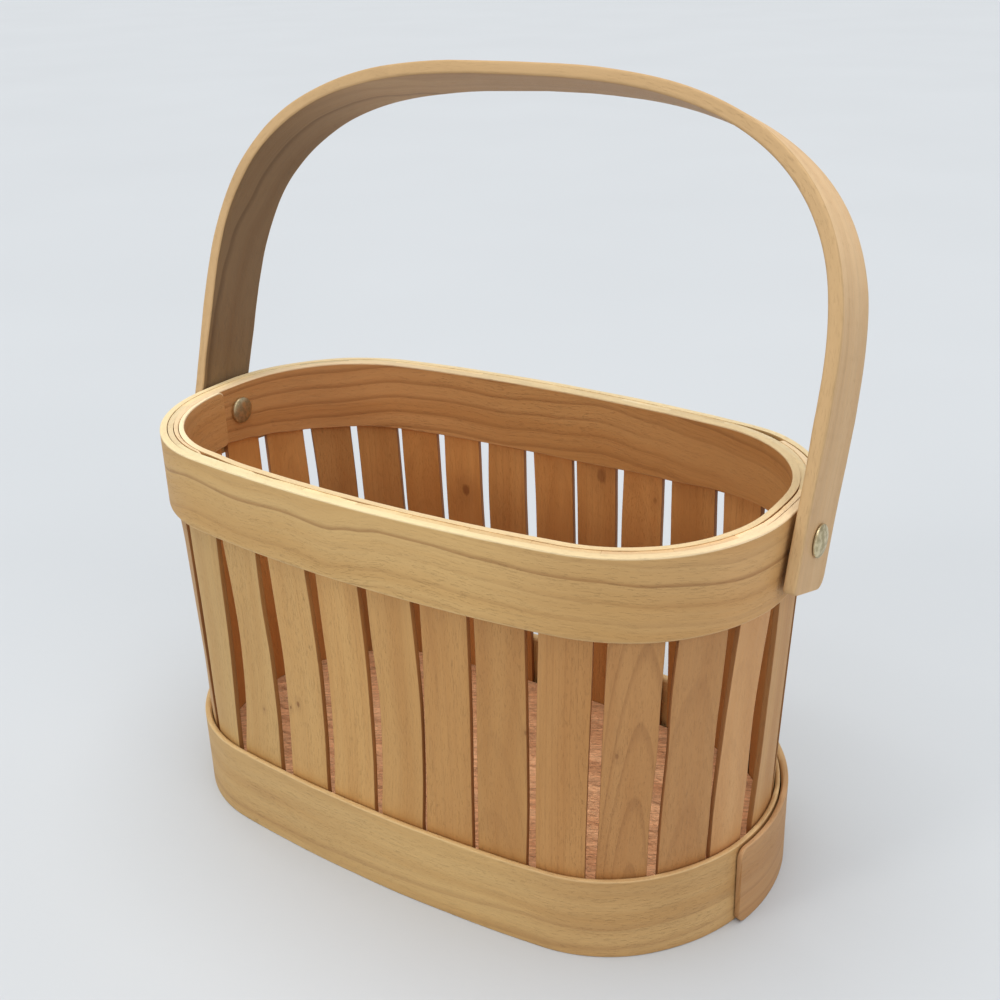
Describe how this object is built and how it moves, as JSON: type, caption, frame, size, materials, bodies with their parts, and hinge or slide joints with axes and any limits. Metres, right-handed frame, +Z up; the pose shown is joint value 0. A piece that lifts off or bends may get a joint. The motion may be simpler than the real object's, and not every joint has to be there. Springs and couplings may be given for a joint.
{
  "type": "foraging basket",
  "caption": "Oval basket of upright wooden slats held between bent bands, with a solid board base and a swinging bentwood handle on rivets.",
  "frame": {"origin": "on the table under the middle of the basket", "axes": "+Z up, +X along the basket from rivet to rivet, +Y to the back, the side to which the handle leans"},
  "size_m": [0.3008, 0.157, 0.313],
  "materials": {
    "band_wood": "bent hardwood strip, lightly sanded, oiled",
    "base_band_wood": "bent hardwood strip, lightly sanded, oiled",
    "slat_wood": "split thin slats, plain",
    "board_wood": "rough-sawn board",
    "handle_wood": "bent hardwood strip, eased edges",
    "antique_brass": "dull antique brass"
  },
  "bodies": {
    "basket": {"base_band": "base_band_wood", "base_board": "board_wood", "slat_01": "slat_wood", "slat_02": "slat_wood", "slat_03": "slat_wood", "slat_04": "slat_wood", "slat_05": "slat_wood", "slat_06": "slat_wood", "slat_07": "slat_wood", "slat_08": "slat_wood", "slat_09": "slat_wood", "slat_10": "slat_wood", "slat_11": "slat_wood", "slat_12": "slat_wood", "slat_13": "slat_wood", "slat_14": "slat_wood", "slat_15": "slat_wood", "slat_16": "slat_wood", "slat_17": "slat_wood", "slat_18": "slat_wood", "slat_19": "slat_wood", "slat_20": "slat_wood", "slat_21": "slat_wood", "slat_22": "slat_wood", "slat_23": "slat_wood", "slat_24": "slat_wood", "slat_25": "slat_wood", "slat_26": "slat_wood", "slat_27": "slat_wood", "slat_28": "slat_wood", "slat_29": "slat_wood", "rim_outer_band": "band_wood", "rim_inner_band": "band_wood", "rivet_right": "antique_brass", "rivet_left": "antique_brass", "spacer_right": "antique_brass", "spacer_left": "antique_brass", "rivet_cap_right": "antique_brass", "rivet_cap_left": "antique_brass"},
    "handle": {"handle": "handle_wood"}
  },
  "joints": [
    {"name": "handle_swing", "type": "hinge", "parent": "basket", "child": "handle", "pos_m": [0, 0.005, 0.158], "axis": [1, 0, 0], "range_deg": [-127, 158]}
  ]
}
